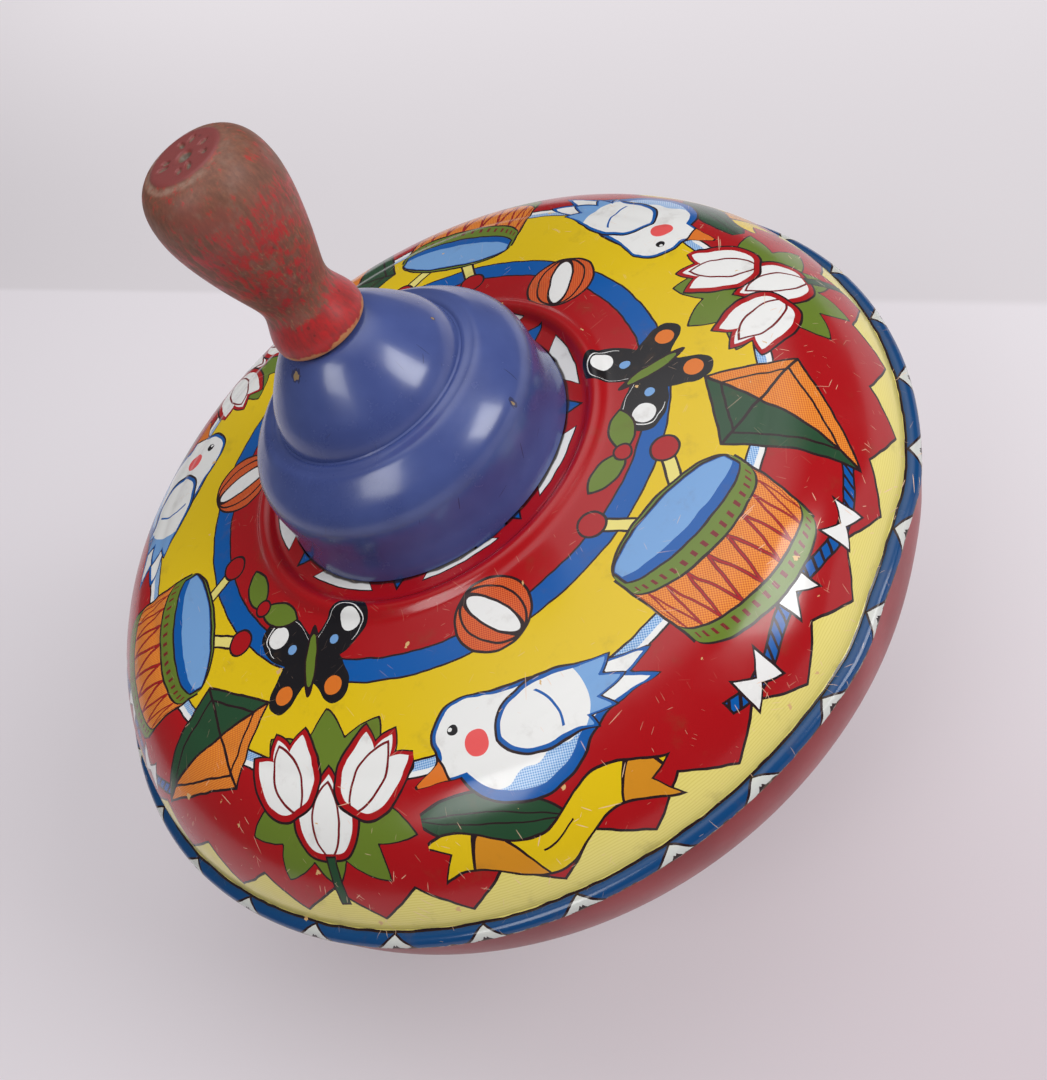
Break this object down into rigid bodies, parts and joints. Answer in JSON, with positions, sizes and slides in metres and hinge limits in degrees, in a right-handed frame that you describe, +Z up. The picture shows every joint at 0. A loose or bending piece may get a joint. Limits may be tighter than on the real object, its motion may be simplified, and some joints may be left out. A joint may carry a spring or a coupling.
{
  "type": "spinning top",
  "caption": "Push-down spinning top: pressed metal body with a rolled rim and a stepped bell, a turned wooden handle on a twisted strip drive, and a foot that stays still.",
  "frame": {"origin": "the tip of the foot, where the top touches the floor", "axes": "+Z up along the spin axis towards the handle; +X and +Y lie in the rim's plane"},
  "size_m": [0.2, 0.2, 0.1897],
  "materials": {
    "handle_wood": "worn red lacquer over bare turned wood",
    "foot_wood": "bare turned wood",
    "strip_steel": "bright drawn steel",
    "plain_steel": "plain pressed steel",
    "rivet_steel": "plain steel",
    "brass": "turned brass",
    "bell_paint": "glossy blue lacquer on tinplate",
    "upper_print": "glossy printed tinplate: yellow deck, red shoulder, blue rim",
    "lower_paint": "red lacquer on tinplate",
    "fibre": "dull pressed fibre"
  },
  "bodies": {
    "stand": {"foot": "foot_wood", "pivot_pin": "strip_steel", "bearing_washer": "fibre"},
    "top_body": {"upper_shell": "upper_print", "lower_shell": "lower_paint", "bell": "bell_paint", "bell_bush": "brass", "clutch_cup": "plain_steel", "nut_retainer": "plain_steel", "guide_tube": "plain_steel", "deck_washer": "plain_steel", "foot_socket": "plain_steel", "socket_rivet_1": "rivet_steel", "socket_rivet_2": "rivet_steel", "socket_rivet_3": "rivet_steel"},
    "plunger": {"handle": "handle_wood", "drive_rod": "strip_steel", "rod_stop": "strip_steel"},
    "nut": {"drive_nut": "brass"}
  },
  "joints": [
    {"name": "spin", "type": "hinge", "parent": "stand", "child": "top_body", "pos_m": [0, 0, 0.032], "axis": [0, 0, 1], "continuous": true},
    {"name": "handle_lift", "type": "slide", "parent": "top_body", "child": "plunger", "axis": [0, 0, 1], "range_m": [0, 0.084]},
    {"name": "nut_turn", "type": "hinge", "parent": "top_body", "child": "nut", "pos_m": [0, 0, 0.129], "axis": [0, 0, 1], "range_deg": [0, 1008]}
  ],
  "couplings": [
    {"joint": "nut_turn", "follows": "handle_lift", "rad_per_m": 209.44}
  ]
}
